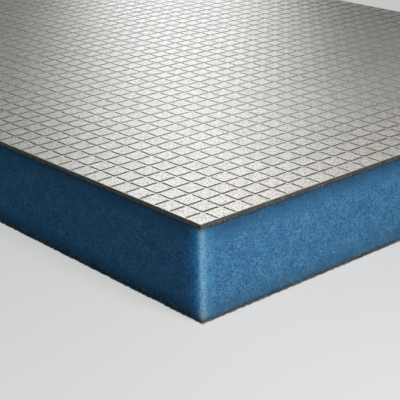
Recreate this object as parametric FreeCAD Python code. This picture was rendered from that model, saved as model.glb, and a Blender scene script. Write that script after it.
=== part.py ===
import FreeCAD
import Part
import os

# Insulation board, lying flat: a foam core with a thin mortar coat below and a two-layer coat above.
# Millimetres. The origin is the middle of the underside, +X runs along the board and +Z is up.

board_length = 1250.0
board_width = 600.0
board_thickness = 75.0  # over all the coats

grid_facing_thickness = 0.8
base_coat_thickness = 2.8
underside_coat_thickness = 1.2

core_corner_radius = 3.0  # the soft foam is rubbed round at its upright corners
underside_corner_radius = 2.0
facing_corner_radius = 1.0  # the hard coats on top keep their corners


def slab(bottom, top, corner_radius):
    """One flat layer between two heights, as large as the board, with its four upright corners rounded."""
    corner = FreeCAD.Vector(-board_length / 2, -board_width / 2, bottom)
    block = Part.makeBox(board_length, board_width, top - bottom, corner)
    upright_edges = [edge for edge in block.Edges if edge.tangentAt(edge.FirstParameter).z != 0]
    return block.makeFillet(corner_radius, upright_edges)


def underside_coat():
    """The thin mortar skin that the board lies on."""
    return slab(0, underside_coat_thickness, underside_corner_radius)


def foam_core():
    """The foam fills what the coats leave of the board's thickness."""
    base_coat_bottom = board_thickness - grid_facing_thickness - base_coat_thickness
    return slab(underside_coat_thickness, base_coat_bottom, core_corner_radius)


def base_coat():
    """The dark mortar that bonds the facing to the foam."""
    top = board_thickness - grid_facing_thickness
    return slab(top - base_coat_thickness, top, facing_corner_radius)


def grid_facing():
    """The pale sheet on top. Its depth is that of the fine grooves that divide it in squares."""
    return slab(board_thickness - grid_facing_thickness, board_thickness, facing_corner_radius)


def main():
    os.makedirs("parts", exist_ok=True)
    for piece in (underside_coat, foam_core, base_coat, grid_facing):
        shape = piece()
        shape.exportStep("parts/" + piece.__name__ + ".step")
        box = shape.BoundBox
        print(piece.__name__, "z", round(box.ZMin, 3), "to", round(box.ZMax, 3), "volume", round(shape.Volume))


main()
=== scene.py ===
import math

import bpy
from mathutils import Matrix, Vector, noise


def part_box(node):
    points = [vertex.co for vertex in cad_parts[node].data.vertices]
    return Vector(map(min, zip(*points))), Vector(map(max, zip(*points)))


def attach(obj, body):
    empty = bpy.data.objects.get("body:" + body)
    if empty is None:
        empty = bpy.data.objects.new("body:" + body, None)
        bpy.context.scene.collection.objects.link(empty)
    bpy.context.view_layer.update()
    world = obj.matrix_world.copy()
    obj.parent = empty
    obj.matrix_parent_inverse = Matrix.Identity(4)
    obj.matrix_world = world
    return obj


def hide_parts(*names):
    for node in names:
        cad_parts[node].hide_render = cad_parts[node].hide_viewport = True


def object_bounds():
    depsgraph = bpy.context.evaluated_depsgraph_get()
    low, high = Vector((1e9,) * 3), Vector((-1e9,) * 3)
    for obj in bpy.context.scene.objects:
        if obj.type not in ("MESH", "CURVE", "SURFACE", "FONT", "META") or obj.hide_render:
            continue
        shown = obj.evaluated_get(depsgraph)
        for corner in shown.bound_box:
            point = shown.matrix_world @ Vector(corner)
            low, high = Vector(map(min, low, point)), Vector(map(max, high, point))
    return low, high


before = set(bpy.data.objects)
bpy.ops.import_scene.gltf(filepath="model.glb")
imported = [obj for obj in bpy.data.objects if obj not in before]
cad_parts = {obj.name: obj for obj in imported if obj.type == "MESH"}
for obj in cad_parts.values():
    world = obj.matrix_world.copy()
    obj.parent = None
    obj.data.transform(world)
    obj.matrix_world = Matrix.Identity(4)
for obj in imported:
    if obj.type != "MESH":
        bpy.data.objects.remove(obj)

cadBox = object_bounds()
boardLow, boardHigh = cadBox
halfLength, halfWidth, boardTop = boardHigh.x, boardHigh.y, boardHigh.z
scene = bpy.context.scene


# Small tools for meshes

def placeMesh(name, verts, faces, material, replaced):
    mesh = bpy.data.meshes.new(name)
    mesh.from_pydata(verts, [], faces)
    mesh.materials.append(material)
    piece = bpy.data.objects.new(name, mesh)
    scene.collection.objects.link(piece)
    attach(piece, "root")
    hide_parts(replaced)
    return piece


def outlinePoints(cornerRadius, step, arcSteps=8):
    # (point, outward direction) along the board's plan outline, anticlockwise
    points = []
    x, y, r = halfLength, halfWidth, cornerRadius
    quarters = [((x - r, r - y), -90), ((x - r, y - r), 0), ((r - x, y - r), 90), ((r - x, r - y), 180)]
    for index, (centre, start) in enumerate(quarters):
        for turn in range(arcSteps + 1):
            angle = math.radians(start + 90 * turn / arcSteps)
            out = Vector((math.cos(angle), math.sin(angle)))
            points.append((Vector(centre) + out * r, out))
        here, out = points[-1]
        there = Vector(quarters[(index + 1) % 4][0]) + out * r
        count = max(1, round((there - here).length / step))
        for part in range(1, count):
            points.append((here.lerp(there, part / count), out))
    return points


def dentAt(point, z, values):
    # how far the side of a layer stands back at one place, never outside the layer's true outline
    spot = Vector((point.x, point.y, z)) / values["reliefSize"]
    dent = values["relief"] * (0.5 + 0.5 * noise.fractal(spot, 0.8, 2.0, 2))
    return values["recess"] + min(max(dent, 0.0), 2 * values["relief"])


def ringSolid(rings):
    # rings of points, from the underside up; the first and last are closed with one flat face each
    count = len(rings[0])
    verts = [point for ring in rings for point in ring]
    faces = [tuple(reversed(range(count)))]
    for level in range(len(rings) - 1):
        low, high = level * count, (level + 1) * count
        for i in range(count):
            j = (i + 1) % count
            faces.append((low + i, low + j, high + j, high + i))
    faces.append(tuple(range(len(verts) - count, len(verts))))
    return verts, faces


def smoothBelow(piece, degrees):
    piece.data.polygons.foreach_set("use_smooth", [True] * len(piece.data.polygons))
    piece.data.set_sharp_from_angle(angle=math.radians(degrees))


# Small tools for nodes

def srgb(red, green, blue):
    def linear(value):
        value /= 255
        return value / 12.92 if value <= 0.04045 else ((value + 0.055) / 1.055) ** 2.4
    return (linear(red), linear(green), linear(blue), 1)


def addNode(tree, kind, settings=None, **inputs):
    node = tree.nodes.new(kind)
    for name, value in (settings or {}).items():
        setattr(node, name, value)
    for name, value in inputs.items():
        feed(tree, value, node.inputs[name.replace("_", " ")])
    return node


def feed(tree, value, socket):
    if isinstance(value, bpy.types.NodeSocket):
        tree.links.new(value, socket)
    else:
        socket.default_value = value


def calculate(tree, operation, *values, clamp=False):
    node = addNode(tree, "ShaderNodeMath", {"operation": operation, "use_clamp": clamp})
    for value, socket in zip(values, node.inputs):
        feed(tree, value, socket)
    return node.outputs[0]


def calculateVector(tree, operation, *values):
    node = addNode(tree, "ShaderNodeVectorMath", {"operation": operation})
    for value, socket in zip(values, node.inputs):
        feed(tree, value, socket)
    return node.outputs[0]


def blendColour(tree, factor, first, second):
    node = addNode(tree, "ShaderNodeMix", {"data_type": "RGBA"})
    for value, index in ((factor, 0), (first, 6), (second, 7)):
        feed(tree, value, node.inputs[index])
    return node.outputs[2]


def ramp(tree, value, low, high, toLow=0.0, toHigh=1.0):
    # 0 to 1 as the value goes from low to high, with soft ends
    node = addNode(tree, "ShaderNodeMapRange", {"interpolation_type": "SMOOTHSTEP"}, Value=value)
    node.inputs["From Min"].default_value = low
    node.inputs["From Max"].default_value = high
    node.inputs["To Min"].default_value = toLow
    node.inputs["To Max"].default_value = toHigh
    return node.outputs[0]


def fadeOut(tree, gap, reachAndStrength):
    # full strength where the gap is none, and nothing from the reach on
    reach, strength = reachAndStrength
    return ramp(tree, gap, 0.0, reach, strength, 0.0)


def newGroup(name, kind, inputs, outputs):
    tree = bpy.data.node_groups.new(name, kind)
    for label, socketType, value in inputs:
        socket = tree.interface.new_socket(label, in_out="INPUT", socket_type="NodeSocket" + socketType)
        if value is not None:
            socket.default_value = value
    for label, socketType in outputs:
        tree.interface.new_socket(label, in_out="OUTPUT", socket_type="NodeSocket" + socketType)
    return tree, addNode(tree, "NodeGroupInput").outputs, addNode(tree, "NodeGroupOutput").inputs


def colourSteps(tree, value, colours):
    # one of the given colours, each for an equal share of the values from 0 to 1
    node = addNode(tree, "ShaderNodeValToRGB", Fac=value)
    node.color_ramp.interpolation = "CONSTANT"
    steps = node.color_ramp.elements
    steps[0].color = colours[0]
    steps.remove(steps[1])
    for index, colour in enumerate(colours[1:], 1):
        steps.new(index / len(colours)).color = colour
    return node.outputs[0]


def newMaterial(name, roughness, specular):
    material = bpy.data.materials.new(name)
    material.use_nodes = True
    tree = material.node_tree
    shader = tree.nodes["Principled BSDF"]
    shader.inputs["Roughness"].default_value = roughness
    shader.inputs["Specular IOR Level"].default_value = specular
    place = addNode(tree, "ShaderNodeTexCoord").outputs["Object"]
    return material, tree, shader, place


def useGroup(tree, group, **inputs):
    return addNode(tree, "ShaderNodeGroup", {"node_tree": group}, **inputs).outputs


def bumpInto(tree, shader, height, distance):
    bump = addNode(tree, "ShaderNodeBump", Height=height, Distance=distance, Strength=1.0)
    feed(tree, bump.outputs[0], shader.inputs["Normal"])


def randomValue(tree, seed, low=0.0, high=1.0):
    node = addNode(tree, "FunctionNodeRandomValue", {"data_type": "FLOAT"}, Seed=seed)
    feed(tree, low, node.inputs[2])
    feed(tree, high, node.inputs[3])
    return node.outputs[1]


def growMesh(name, tree, start, values):
    # runs a geometry tree once on a starting mesh and keeps its result as a plain mesh
    piece = bpy.data.objects.new(name, start)
    scene.collection.objects.link(piece)
    modifier = piece.modifiers.new(name, "NODES")
    modifier.node_group = tree
    for item in tree.interface.items_tree:
        if item.in_out == "INPUT" and item.name in values:
            modifier[item.identifier] = values[item.name]
    graph = bpy.context.evaluated_depsgraph_get()
    plain = bpy.data.meshes.new_from_object(piece.evaluated_get(graph))
    piece.modifiers.remove(modifier)
    piece.data = plain
    plain.name = name
    return piece


# Effects that several finishes share

def grainGroup():
    # rounded grains lying close together: their height, and a random value for each grain
    tree, given, result = newGroup(
        "Packed grains", "ShaderNodeTree",
        [("Place", "Vector", None), ("Grain Size", "Float", 0.001), ("Unevenness", "Float", 0.5)],
        [("Height", "Float"), ("Each Grain", "Float"), ("Cloud", "Float")])
    scale = calculate(tree, "DIVIDE", 1.0, given["Grain Size"])
    cells = addNode(tree, "ShaderNodeTexVoronoi", Vector=given["Place"], Scale=scale)
    clouds = addNode(tree, "ShaderNodeTexNoise", Vector=given["Place"], Scale=scale,
                     Detail=3.0, Roughness=0.65)
    dome = calculate(tree, "SUBTRACT", 1.0, cells.outputs["Distance"])
    lumps = calculate(tree, "MULTIPLY", clouds.outputs[0], given["Unevenness"])
    feed(tree, calculate(tree, "ADD", dome, lumps), result["Height"])
    each = addNode(tree, "ShaderNodeSeparateColor", Color=cells.outputs["Color"])
    feed(tree, each.outputs[0], result["Each Grain"])
    feed(tree, clouds.outputs[0], result["Cloud"])
    return tree


def edgeGroup():
    # how far a point is from the nearest side of the board, and from its nearest upright corner
    tree, given, result = newGroup(
        "Way to the edges", "ShaderNodeTree",
        [("Place", "Vector", None), ("Half Length", "Float", 1.0), ("Half Width", "Float", 1.0)],
        [("To Side", "Float"), ("To Corner", "Float")])
    axes = addNode(tree, "ShaderNodeSeparateXYZ", Vector=given["Place"])
    gaps = []
    for axis, half in ((0, "Half Length"), (1, "Half Width")):
        along = calculate(tree, "ABSOLUTE", axes.outputs[axis])
        gaps.append(calculate(tree, "SUBTRACT", given[half], along))
    feed(tree, calculate(tree, "MINIMUM", *gaps), result["To Side"])
    feed(tree, calculate(tree, "MAXIMUM", *gaps), result["To Corner"])
    return tree


def onLongSides(tree, place):
    # 1 on the board's long sides, 0 on its ends
    across = addNode(tree, "ShaderNodeSeparateXYZ", Vector=place).outputs[1]
    return ramp(tree, calculate(tree, "ABSOLUTE", across), halfWidth - 0.003, halfWidth - 0.0012)


grainEffect = grainGroup()
edgeEffect = edgeGroup()
print("shared effects ready")


# Foam core

foam = {
    "step": 0.0024, "rows": 28, "cornerRadius": 0.003, "recess": 0.0,
    "relief": 0.00022, "reliefSize": 0.007, "chips": 0.0004, "chipSize": 0.004,
    "roughness": 0.75, "specular": 0.06,
    "grain": 0.0011, "grainHeight": 0.0001, "blue": srgb(96, 155, 199), "deepBlue": srgb(58, 117, 163),
    "grainShare": 0.45, "cloudShare": 0.3, "fineShare": 0.35,  # what the mottling is made of
    "paleBlue": srgb(146, 188, 223), "paleFlecks": 0.26,
    "darkFleck": srgb(18, 84, 136), "darkFlecks": 0.42,
    "patchSize": 0.012, "patches": 0.24,
    # painted shade, darker towards the upper edge under the mortar coat and towards the foot: how far in,
    # how strong on the ends, and on the long sides
    "shade": srgb(40, 80, 116), "upperShade": (0.018, 0.6, 0.34), "lowerShade": (0.018, 0.3, 0.66),
    # paler at an upright corner: a painted glow of light coming through it, and rubbed paler, which also
    # paints the corner's highlight: how far, how strong
    "paintedGlowBlue": srgb(106, 180, 238), "paintedCornerGlow": (0.018, 0.45),
    "rubbedAndHighlightBlue": srgb(158, 202, 242), "cornerRubAndHighlight": (0.0062, 0.62),
    # mortar along the foam's upper edge, pale chips and grey mortar along its foot: how far, how strong
    "stain": srgb(66, 70, 72), "stained": (0.0022, 0.74), "ragged": 0.012,
    "chipped": (0.009, 0.6), "footFleck": srgb(128, 138, 148), "footGrey": (0.0018, 0.7),
    "glow": 1.0, "glowReach": 0.06, "glowTint": (0.62, 0.95, 1.0),  # light that passes through the foam
}


def foamMaterial():
    material, tree, shader, place = newMaterial("blue foam", foam["roughness"], foam["specular"])
    shader.inputs["Subsurface Weight"].default_value = foam["glow"]
    shader.inputs["Subsurface Radius"].default_value = foam["glowTint"]
    shader.inputs["Subsurface Scale"].default_value = foam["glowReach"]
    grains = useGroup(tree, grainEffect, Place=place, Grain_Size=foam["grain"], Unevenness=0.9)
    fine = useGroup(tree, grainEffect, Place=place, Grain_Size=foam["grain"] * 0.5, Unevenness=0.8)
    each = grains["Each Grain"]
    mottle = calculate(tree, "MULTIPLY", grains["Cloud"], foam["cloudShare"])
    mottle = calculate(tree, "MULTIPLY_ADD", each, foam["grainShare"], mottle)
    mottle = calculate(tree, "MULTIPLY_ADD", fine["Each Grain"], foam["fineShare"], mottle)
    colour = blendColour(tree, ramp(tree, mottle, 0.25, 0.85), foam["deepBlue"], foam["blue"])
    pale = ramp(tree, each, 0.88, 0.98, 0.0, foam["paleFlecks"])
    colour = blendColour(tree, pale, colour, foam["paleBlue"])
    dark = ramp(tree, each, 0.02, 0.12, foam["darkFlecks"], 0.0)
    colour = blendColour(tree, dark, colour, foam["darkFleck"])
    clouds = addNode(tree, "ShaderNodeTexNoise", Vector=place, Scale=1 / foam["patchSize"], Detail=2.0)
    patches = ramp(tree, clouds.outputs[0], 0.35, 0.65, 0.0, foam["patches"])
    colour = blendColour(tree, patches, colour, foam["shade"])
    edges = useGroup(tree, edgeEffect, Place=place, Half_Length=halfLength, Half_Width=halfWidth)
    low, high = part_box("foam_core")
    height = addNode(tree, "ShaderNodeSeparateXYZ", Vector=place).outputs[2]
    below = calculate(tree, "SUBTRACT", high.z, height)
    above = calculate(tree, "SUBTRACT", height, low.z)
    longSides = onLongSides(tree, place)
    speckled = calculate(tree, "MULTIPLY_ADD", each, 1.6, 0.2)
    # painted shade along the foam's upper edge and its foot, speckled grain by grain
    for gap, name in ((below, "upperShade"), (above, "lowerShade")):
        reach, onEnds, onLong = foam[name]
        strength = calculate(tree, "MULTIPLY_ADD", longSides, onLong - onEnds, onEnds)
        shade = calculate(tree, "MULTIPLY", fadeOut(tree, gap, (reach, 1.0)), strength)
        shade = calculate(tree, "MULTIPLY", shade, speckled, clamp=True)
        colour = blendColour(tree, shade, colour, foam["shade"])
    # painted glow and painted highlight at the upright corners; the rubbing is also real wear
    patchy = calculate(tree, "MULTIPLY_ADD", each, 0.9, 0.45)
    for name, paler in (("paintedCornerGlow", "paintedGlowBlue"), ("cornerRubAndHighlight", "rubbedAndHighlightBlue")):
        near = fadeOut(tree, edges["To Corner"], foam[name])
        colour = blendColour(tree, calculate(tree, "MULTIPLY", near, patchy), colour, foam[paler])
    swing = calculate(tree, "SUBTRACT", grains["Cloud"], 0.5)
    ragged = calculate(tree, "MULTIPLY", swing, foam["ragged"])
    stain = fadeOut(tree, calculate(tree, "ADD", below, ragged), foam["stained"])
    colour = blendColour(tree, stain, colour, foam["stain"])
    chipped = fadeOut(tree, above, foam["chipped"])
    chipped = calculate(tree, "MULTIPLY", chipped, ramp(tree, each, 0.3, 0.0))
    colour = blendColour(tree, chipped, colour, foam["paleBlue"])
    foot = fadeOut(tree, calculate(tree, "MULTIPLY_ADD", ragged, 0.5, above), foam["footGrey"])
    colour = blendColour(tree, foot, colour, foam["footFleck"])
    feed(tree, colour, shader.inputs["Base Color"])
    bumps = calculate(tree, "MULTIPLY_ADD", fine["Height"], 0.4, grains["Height"])
    bumpInto(tree, shader, bumps, foam["grainHeight"])
    return material


def roughSides(node, values):
    # a layer of the board whose sides are a little uneven, always inside the layer's true outline
    low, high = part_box(node)
    outline = outlinePoints(values["cornerRadius"], values["step"])
    back = values["recess"] + 2 * values["relief"] + values["chips"]
    rings = [[(point.x - out.x * back, point.y - out.y * back, low.z) for point, out in outline]]
    for row in range(values["rows"] + 1):
        ring = []
        for point, out in outline:
            z = low.z + (high.z - low.z) * row / values["rows"]
            dent = dentAt(point, z, values)
            if row == 0:
                chip = noise.noise(Vector((point.x, point.y, 0.0)) / values["chipSize"])
                z += values["chips"] * min(max(0.35 + 1.3 * chip, 0.02), 1.0)
            ring.append((point.x - out.x * dent, point.y - out.y * dent, z))
        rings.append(ring)
    return ringSolid(rings)


def makeFoam():
    verts, faces = roughSides("foam_core", foam)
    piece = placeMesh("foam_block", verts, faces, foamMaterial(), "foam_core")
    smoothBelow(piece, 40)


makeFoam()
print("foam core ready")


# Mortar coats, with the sand that shows along their sides

baseCoat = {
    "step": 0.0012, "rows": 3, "cornerRadius": 0.001, "recess": 0.0002,
    "relief": 0.00018, "reliefSize": 0.0018, "chips": 0.0005, "chipSize": 0.0025,
    "dark": srgb(48, 50, 48), "middle": srgb(101, 103, 99), "brown": srgb(98, 89, 76),
    "paintedSideLight": srgb(152, 152, 144), "paintedSideLightShare": 0.36,  # painted light: the long sides are painted paler than the ends
    "grain": 0.0013, "grainHeight": 0.0004,
    "roughness": 0.88, "specular": 0.25, "brownStains": 0.6,
    "stonesPerArea": 650000, "smallestStone": 0.0003, "largestStone": 0.00055, "seed": 3,
    "stoneRoughness": 0.8, "stoneSpecular": 0.3, "stoneGrain": 0.00009,
    "stones": [srgb(44, 45, 42), srgb(134, 134, 126), srgb(84, 86, 80), srgb(118, 104, 86),
               srgb(100, 106, 92), srgb(172, 170, 160), srgb(58, 58, 54), srgb(36, 36, 34)],
}
undersideCoat = {
    "step": 0.0012, "rows": 2, "cornerRadius": 0.002, "recess": 0.0001,
    "relief": 0.00025, "reliefSize": 0.0022, "chips": 0.0009, "chipSize": 0.0026,
    "dark": srgb(112, 116, 120), "middle": srgb(158, 162, 166), "brown": srgb(140, 142, 142),
    "paintedSideLight": srgb(164, 165, 166), "paintedSideLightShare": 0.0,
    "grain": 0.0012, "grainHeight": 0.0003,
    "roughness": 0.88, "specular": 0.25, "brownStains": 0.6,
    "stonesPerArea": 500000, "smallestStone": 0.0002, "largestStone": 0.0004, "seed": 4,
    "stoneRoughness": 0.8, "stoneSpecular": 0.3, "stoneGrain": 0.00006,
    "stones": [srgb(128, 132, 136), srgb(190, 194, 198), srgb(164, 168, 170), srgb(88, 92, 98),
               srgb(214, 214, 212)],
}


# paints light onto a coat's long sides: they are painted paler than the ends, grain by grain
def paintedLightOnLongSides(tree, place, colour, coat, each):
    # each is a random value for every grain or stone
    paintedLightAmount = calculate(tree, "MULTIPLY_ADD", each, 1.5 * coat["paintedSideLightShare"], 0.25 * coat["paintedSideLightShare"])
    cover = calculate(tree, "MULTIPLY", onLongSides(tree, place), paintedLightAmount)
    return blendColour(tree, cover, colour, coat["paintedSideLight"])


def mortarMaterial(name, coat):
    material, tree, shader, place = newMaterial(name, coat["roughness"], coat["specular"])
    grains = useGroup(tree, grainEffect, Place=place, Grain_Size=coat["grain"], Unevenness=0.7)
    colour = blendColour(tree, ramp(tree, grains["Cloud"], 0.36, 0.62), coat["dark"], coat["middle"])
    stains = addNode(tree, "ShaderNodeTexNoise", Vector=place, Scale=0.45 / coat["grain"], Detail=2.0)
    stained = ramp(tree, stains.outputs[0], 0.5, 0.68, 0.0, coat["brownStains"])
    colour = blendColour(tree, stained, colour, coat["brown"])
    colour = paintedLightOnLongSides(tree, place, colour, coat, grains["Each Grain"])
    feed(tree, colour, shader.inputs["Base Color"])
    bumpInto(tree, shader, grains["Height"], coat["grainHeight"])
    return material


def stoneMaterial(name, coat):
    material, tree, shader, place = newMaterial(name, coat["stoneRoughness"], coat["stoneSpecular"])
    tone = addNode(tree, "ShaderNodeAttribute", {"attribute_name": "stoneTone"}).outputs["Fac"]
    grains = useGroup(tree, grainEffect, Place=place, Grain_Size=coat["smallestStone"], Unevenness=0.8)
    colour = colourSteps(tree, tone, coat["stones"])
    colour = blendColour(tree, ramp(tree, grains["Cloud"], 0.3, 0.7, 0.25, 0.0), colour, coat["dark"])
    colour = paintedLightOnLongSides(tree, place, colour, coat, tone)
    feed(tree, colour, shader.inputs["Base Color"])
    bumpInto(tree, shader, grains["Height"], coat["stoneGrain"])
    return material


def sandTree():
    # scatters small stones of several sizes over a surface
    tree, given, result = newGroup(
        "Scattered sand", "GeometryNodeTree",
        [("Geometry", "Geometry", None), ("Stones Per Area", "Float", 100000.0),
         ("Smallest", "Float", 0.0002), ("Largest", "Float", 0.0005), ("Seed", "Int", 1),
         ("Material", "Material", None)],
        [("Geometry", "Geometry")])
    spots = addNode(tree, "GeometryNodeDistributePointsOnFaces", Mesh=given["Geometry"],
                    Density=given["Stones Per Area"], Seed=given["Seed"])
    stone = addNode(tree, "GeometryNodeMeshIcoSphere", Radius=1.0, Subdivisions=1)
    turn = addNode(tree, "FunctionNodeRandomValue", {"data_type": "FLOAT_VECTOR"}, Seed=11)
    turn.inputs[1].default_value = (6.28, 6.28, 6.28)  # turned any way round
    stones = addNode(tree, "GeometryNodeInstanceOnPoints", Points=spots.outputs["Points"],
                     Instance=stone.outputs["Mesh"], Rotation=turn.outputs[0],
                     Scale=randomValue(tree, 12, given["Smallest"], given["Largest"]))
    marked = addNode(tree, "GeometryNodeStoreNamedAttribute", {"domain": "INSTANCE"},
                     Geometry=stones.outputs[0], Name="stoneTone", Value=randomValue(tree, 13))
    solid = addNode(tree, "GeometryNodeRealizeInstances", Geometry=marked.outputs[0])
    painted = addNode(tree, "GeometryNodeSetMaterial", Geometry=solid.outputs[0],
                      Material=given["Material"])
    feed(tree, painted.outputs[0], result["Geometry"])
    return tree


def sideStrip(node, coat):
    # the surface on which the stones' middles lie, so far inside that none stands out of the board
    low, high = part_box(node)
    deep = coat["largestStone"]
    outline = outlinePoints(coat["cornerRadius"], 0.02)
    verts = [(point.x - out.x * deep, point.y - out.y * deep, z)
             for z in (low.z + deep, high.z - deep) for point, out in outline]
    count = len(outline)
    faces = [(i, (i + 1) % count, (i + 1) % count + count, i + count) for i in range(count)]
    mesh = bpy.data.meshes.new("strip")
    mesh.from_pydata(verts, [], faces)
    return mesh


def makeCoats():
    scatter = sandTree()
    for name, sandName, node, coat in (
            ("base_mortar", "base_mortar_sand", "base_coat", baseCoat),
            ("underside_mortar", "underside_mortar_sand", "underside_coat", undersideCoat)):
        verts, faces = roughSides(node, coat)
        piece = placeMesh(name, verts, faces, mortarMaterial(name, coat), node)
        smoothBelow(piece, 50)
        sand = growMesh(sandName, scatter, sideStrip(node, coat), {
            "Stones Per Area": coat["stonesPerArea"], "Smallest": coat["smallestStone"],
            "Largest": coat["largestStone"], "Seed": coat["seed"],
            "Material": stoneMaterial(sandName, coat)})
        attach(sand, "root")
        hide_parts(node)
        stones = len(sand.data.polygons) // 20  # a stone has 20 faces
        print(name, "has", stones, "stones along its sides")


makeCoats()
print("mortar coats ready")


# Pale facing with its scored squares

facing = {
    "edgeStep": 0.0014, "cornerRadius": 0.001, "recess": 0.0003, "relief": 0.00016, "reliefSize": 0.0022,
    "rows": 36, "grooveAcross": 0.0022, "grooveAlong": 0.0015, "grooveFloor": 0.0001, "rim": 0.0012,
    "padBevel": 0.00016, "padWobble": 0.00028, "padSink": 0.00005, "padDrop": 0.00001,
    "ear": 0.0018, "earOverlap": 0.0003, "earDip": 0.00006,
    "roughness": 0.28, "specular": 0.5, "grain": 0.0009, "grainHeight": 0.00016,
    "skin": srgb(223, 219, 210), "darkSkin": srgb(165, 161, 152), "toneOfSquares": 0.22,
    "lightSkin": srgb(239, 236, 229), "lightPatches": 0.6, "speck": srgb(98, 92, 84), "specks": 0.88,
    "wall": srgb(78, 75, 70), "paintedGrooveShade": srgb(92, 88, 82),
    "paintedMiddleGrooveShade": srgb(168, 165, 158), "middleFrom": 0.02, "middleTo": 0.14,
}
pitch = 2 * halfWidth / facing["rows"]
columns = round(2 * halfLength / pitch)
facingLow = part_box("grid_facing")[0].z


def facingMaterial():
    material, tree, shader, place = newMaterial(
        "pale mineral facing", facing["roughness"], facing["specular"])
    grains = useGroup(tree, grainEffect, Place=place, Grain_Size=facing["grain"], Unevenness=0.9)
    coarse = useGroup(tree, grainEffect, Place=place, Grain_Size=facing["grain"] * 2.6, Unevenness=0.9)
    colour = blendColour(tree, ramp(tree, grains["Cloud"], 0.35, 0.6), facing["darkSkin"], facing["skin"])
    light = ramp(tree, coarse["Cloud"], 0.5, 0.72, 0.0, facing["lightPatches"])
    colour = blendColour(tree, light, colour, facing["lightSkin"])
    specks = ramp(tree, grains["Each Grain"], 0.79, 0.9, 0.0, facing["specks"])
    colour = blendColour(tree, specks, colour, facing["speck"])
    tone = addNode(tree, "ShaderNodeAttribute", {"attribute_name": "padTone"}).outputs["Fac"]
    duller = calculate(tree, "MULTIPLY", tone, facing["toneOfSquares"])
    colour = blendColour(tree, duller, colour, facing["darkSkin"])
    # painted shade in the scored grooves, paler away from the board's sides; the facing's outer side is
    # dark mortar
    edges = useGroup(tree, edgeEffect, Place=place, Half_Length=halfLength, Half_Width=halfWidth)
    inner = ramp(tree, edges["To Side"], facing["middleFrom"], facing["middleTo"])
    grooveShadeAndSide = blendColour(tree, inner, facing["paintedGrooveShade"], facing["paintedMiddleGrooveShade"])
    grooveShadeAndSide = blendColour(tree, ramp(tree, edges["To Side"], 0.0008, 0.001), facing["wall"], grooveShadeAndSide)
    height = addNode(tree, "ShaderNodeSeparateXYZ", Vector=place).outputs[2]
    depth = calculate(tree, "SUBTRACT", boardTop, height)
    # the painted groove shade, and the dark outer side, go on everything below the squares' tops
    colour = blendColour(tree, ramp(tree, depth, 0.00012, 0.0003), colour, grooveShadeAndSide)
    feed(tree, colour, shader.inputs["Base Color"])
    bumpInto(tree, shader, grains["Height"], facing["grainHeight"])
    return material


def padMesh():
    # one raised square, centred on the origin, with two short ears at its back left corner, where the
    # scoring stops just before each crossing and the square runs on into its neighbours
    a, b = (pitch - facing["grooveAcross"]) / 2, (pitch - facing["grooveAlong"]) / 2
    ear, overlap = facing["ear"], facing["earOverlap"]
    overLeft, overBack = facing["grooveAcross"] + overlap, facing["grooveAlong"] + overlap
    plan = [(a, -b), (a, b), (ear - a, b), (ear - a, b + overBack), (-a, b + overBack), (-a, b),
            (-a - overLeft, b), (-a - overLeft, b - ear), (-a, b - ear), (-a, -b)]
    foot, top = facingLow + facing["grooveFloor"] / 2, boardTop - facing["padDrop"]
    bevel = facing["padBevel"]
    rings = [[], [], []]
    for index, (x, y) in enumerate(plan):
        here = Vector((x, y))
        before, after = Vector(plan[index - 1]), Vector(plan[(index + 1) % len(plan)])
        sides = [(end - begin).normalized() for begin, end in ((before, here), (here, after))]
        inward = [Vector((-side.y, side.x)) for side in sides]
        inner = here + (inward[0] + inward[1]) * bevel
        dip = facing["earDip"] if x < -a or y > b else 0.0  # the ears lie a hair lower than the square
        rings[0].append((x, y, foot))
        rings[1].append((x, y, top - bevel - dip))
        rings[2].append((inner.x, inner.y, top - dip))
    mesh = bpy.data.meshes.new("scored square")
    verts, faces = ringSolid(rings)
    mesh.from_pydata(verts, [], faces)
    return mesh


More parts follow.
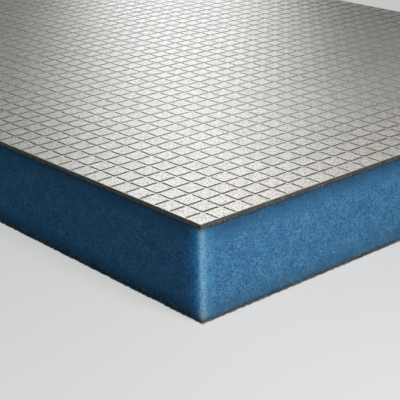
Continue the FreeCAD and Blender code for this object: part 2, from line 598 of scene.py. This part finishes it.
def padTree():
    # repeats one square over the board, each a little different in height, outline and tone
    tree, given, result = newGroup(
        "Scored squares", "GeometryNodeTree",
        [("Geometry", "Geometry", None), ("Columns", "Int", 4), ("Rows", "Int", 4),
         ("Pitch", "Float", 0.01), ("Wobble", "Float", 0.0001), ("Sink", "Float", 0.0001),
         ("Half Length", "Float", 1.0), ("Half Width", "Float", 1.0), ("Material", "Material", None)],
        [("Geometry", "Geometry")])
    spans = [calculate(tree, "MULTIPLY", calculate(tree, "SUBTRACT", given[count], 1.0), given["Pitch"])
             for count in ("Columns", "Rows")]
    places = addNode(tree, "GeometryNodeMeshGrid", Size_X=spans[0], Size_Y=spans[1],
                     Vertices_X=given["Columns"], Vertices_Y=given["Rows"])
    pads = addNode(tree, "GeometryNodeInstanceOnPoints", Points=places.outputs["Mesh"],
                   Instance=given["Geometry"])
    marked = addNode(tree, "GeometryNodeStoreNamedAttribute", {"domain": "INSTANCE"},
                     Geometry=pads.outputs[0], Name="padTone", Value=randomValue(tree, 7))
    sunk = calculate(tree, "MULTIPLY", randomValue(tree, 8), given["Sink"])
    sunk = calculate(tree, "MULTIPLY", sunk, -1.0)
    lowered = addNode(tree, "GeometryNodeTranslateInstances", Instances=marked.outputs[0],
                      Translation=addNode(tree, "ShaderNodeCombineXYZ", Z=sunk).outputs[0])
    solid = addNode(tree, "GeometryNodeRealizeInstances", Geometry=lowered.outputs[0])
    spot = addNode(tree, "GeometryNodeInputPosition").outputs[0]
    rough = addNode(tree, "ShaderNodeTexNoise", Vector=spot, Scale=160.0, Detail=1.0)
    swing = calculateVector(tree, "SUBTRACT", rough.outputs["Color"], (0.5, 0.5, 0.5))
    wobble = addNode(tree, "ShaderNodeVectorMath", {"operation": "SCALE"}, Vector=swing,
                     Scale=given["Wobble"])
    level = calculateVector(tree, "MULTIPLY", wobble.outputs[0], (2.0, 2.0, 0.0))
    # no square wobbles out of the board
    limit = addNode(tree, "ShaderNodeCombineXYZ", X=given["Half Length"], Y=given["Half Width"], Z=1.0)
    limit = limit.outputs[0]
    inside = calculateVector(tree, "MINIMUM", calculateVector(tree, "ADD", spot, level), limit)
    opposite = calculateVector(tree, "MULTIPLY", limit, (-1.0, -1.0, -1.0))
    inside = calculateVector(tree, "MAXIMUM", inside, opposite)
    uneven = addNode(tree, "GeometryNodeSetPosition", Geometry=solid.outputs[0], Position=inside)
    painted = addNode(tree, "GeometryNodeSetMaterial", Geometry=uneven.outputs[0],
                      Material=given["Material"])
    feed(tree, painted.outputs[0], result["Geometry"])
    return tree


def makeFacing():
    material = facingMaterial()
    floor = facingLow + facing["grooveFloor"]
    edge = facing["padBevel"]
    rim = facing["rim"]
    outline = outlinePoints(facing["cornerRadius"], facing["edgeStep"])
    dents = [dentAt(point, boardTop, facing) for point, out in outline]
    # up the side, over the rim and down to the floor: how far in, whether dents move it, how high
    profile = ((0, 1, facingLow), (0, 1, boardTop - edge), (edge, 1, boardTop),
               (rim, 0, boardTop), (rim + edge, 0, boardTop - edge), (rim + edge, 0, floor))
    rings = []
    for inset, unevenness, z in profile:
        rings.append([(point.x - out.x * (inset + dent * unevenness),
                       point.y - out.y * (inset + dent * unevenness), z)
                      for (point, out), dent in zip(outline, dents)])
    verts, faces = ringSolid(rings)
    placeMesh("facing_sheet", verts, faces, material, "grid_facing")
    squares = growMesh("facing_squares", padTree(), padMesh(), {
        "Columns": columns, "Rows": facing["rows"], "Pitch": pitch, "Wobble": facing["padWobble"],
        "Sink": facing["padSink"], "Half Length": halfLength - rim / 2, "Half Width": halfWidth - rim / 2,
        "Material": material})
    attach(squares, "root")
    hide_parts("grid_facing")


makeFacing()
print("scored facing ready:", columns, "by", facing["rows"], "squares")


# Studio

studio = {
    "floorHalf": 8.0, "floorGap": 0.0002,
    # what the camera and glosses see of the floor and background, and what light they give to the board
    "floorSeen": srgb(144, 143, 142), "paleColour": srgb(244, 244, 243),
    "paleFloor": 0.5, "paleBackground": 0.32,
    "floorBounce": srgb(60, 60, 60), "ambient": 0.05, "ambientColour": srgb(222, 238, 250),
}
lamps = {
    # where each softbox aims on the board, the direction it stands in, how far off, its size and power
    "back softbox": {"aim": (0.33, -0.03), "heading": 140.7, "height": 19, "distance": 1.4,
                     "size": (0.42, 0.48), "power": 4.45, "spread": 180, "colour": (1.0, 1.0, 1.0)},
    "right softbox": {"aim": (0.55, -0.3), "heading": 0, "height": 43, "distance": 0.78,
                      "size": (0.34, 0.34), "power": 4.12, "spread": 140, "colour": (1.0, 1.0, 1.0)},
    "left softbox": {"aim": (0.3, -0.3), "heading": -100, "height": 12, "distance": 1.6,
                     "size": (1.2, 0.8), "power": 2.5, "spread": 180, "colour": (0.47, 0.82, 1.0)},
}
camera = {
    "lens": 107.5, "position": (1.183, -0.7848, 0.3805), "nearest": 0.05,
    "heading": 49.02, "down": 21.26, "roll": 1.09,
}


def seenRays(tree):
    # 1 where a surface is seen, also in a gloss or through glass, and 0 where it only gives light
    rays = addNode(tree, "ShaderNodeLightPath").outputs
    mirrored = calculate(tree, "MAXIMUM", rays["Is Glossy Ray"], rays["Is Transmission Ray"])
    return calculate(tree, "MAXIMUM", rays["Is Camera Ray"], mirrored)


def makeStudio():
    half, z = studio["floorHalf"], boardLow.z - studio["floorGap"]
    material, tree, shader, _ = newMaterial("floor", 0.9, 0.1)
    seen = seenRays(tree)
    colour = blendColour(tree, seen, studio["floorBounce"], studio["floorSeen"])
    feed(tree, colour, shader.inputs["Base Color"])
    shader.inputs["Emission Color"].default_value = studio["paleColour"]
    feed(tree, calculate(tree, "MULTIPLY", seen, studio["paleFloor"]), shader.inputs["Emission Strength"])
    mesh = bpy.data.meshes.new("floor")
    corners = [(-half, -half, z), (half, -half, z), (half, half, z), (-half, half, z)]
    mesh.from_pydata(corners, [], [(0, 1, 2, 3)])
    mesh.materials.append(material)
    floor = bpy.data.objects.new("floor", mesh)
    scene.collection.objects.link(floor)
    world = bpy.data.worlds.new("studio")
    scene.world = world
    world.use_nodes = True
    tree = world.node_tree
    seen = seenRays(tree)
    sky = tree.nodes["Background"]
    colour = blendColour(tree, seen, studio["ambientColour"], studio["paleColour"])
    feed(tree, colour, sky.inputs["Color"])
    extra = studio["paleBackground"] - studio["ambient"]
    feed(tree, calculate(tree, "MULTIPLY_ADD", seen, extra, studio["ambient"]), sky.inputs["Strength"])


def makeLamps():
    for name, lamp in lamps.items():
        turn, rise = math.radians(lamp["heading"]), math.radians(lamp["height"])
        away = Vector((math.cos(turn) * math.cos(rise), math.sin(turn) * math.cos(rise), math.sin(rise)))
        light = bpy.data.lights.new(name, "AREA")
        light.shape = "RECTANGLE"
        light.size, light.size_y = lamp["size"]
        light.energy = lamp["power"]
        light.spread = math.radians(lamp["spread"])
        light.color = lamp["colour"]
        holder = bpy.data.objects.new(name, light)
        holder.location = Vector((*lamp["aim"], boardTop)) + away * lamp["distance"]
        holder.rotation_euler = away.to_track_quat("Z", "Y").to_euler()
        holder.visible_camera = False
        scene.collection.objects.link(holder)


def makeCamera():
    turn, down = math.radians(camera["heading"]), math.radians(camera["down"])
    forward = Vector((-math.sin(turn) * math.cos(down), math.cos(turn) * math.cos(down), -math.sin(down)))
    holder = bpy.data.objects.new("camera", bpy.data.cameras.new("camera"))
    holder.data.lens = camera["lens"]
    holder.data.clip_start = camera["nearest"]
    facingWay = forward.to_track_quat("-Z", "Y").to_matrix().to_4x4()
    rolled = facingWay @ Matrix.Rotation(math.radians(-camera["roll"]), 4, "Z")
    holder.matrix_world = Matrix.Translation(camera["position"]) @ rolled
    scene.collection.objects.link(holder)
    scene.camera = holder


makeStudio()
makeLamps()
makeCamera()
scene.view_settings.view_transform = "Standard"
print("studio ready")
